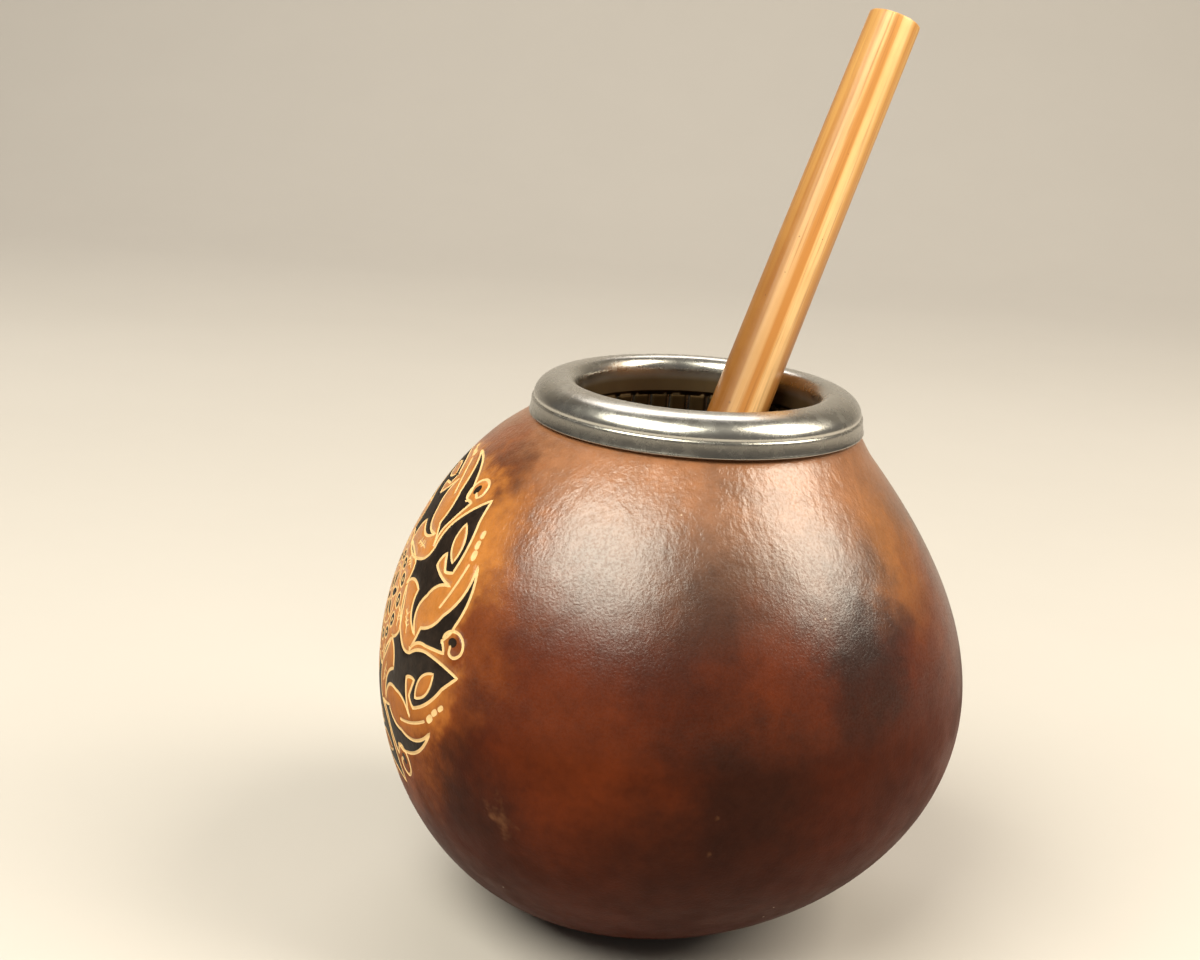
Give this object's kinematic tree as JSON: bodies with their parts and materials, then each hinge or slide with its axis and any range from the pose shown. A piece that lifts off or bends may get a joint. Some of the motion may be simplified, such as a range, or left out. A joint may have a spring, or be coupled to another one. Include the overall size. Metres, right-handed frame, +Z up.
{
  "type": "mate gourd cup with straw",
  "caption": "Round dried-gourd cup for mate with a folded metal rim round its mouth and a hollow bamboo drinking straw leaning in it.",
  "frame": {"origin": "centre of the flat spot under the gourd, on the table", "axes": "+Z up the cup, +X towards the side the straw leans to, -Y towards the viewer"},
  "size_m": [0.0977, 0.0978, 0.1525],
  "materials": {
    "gourd": "gloss",
    "rim_metal": "polished",
    "bamboo": "satin"
  },
  "bodies": {
    "root": {"gourd": "gourd", "rim": "rim_metal", "straw": "bamboo"}
  },
  "joints": []
}
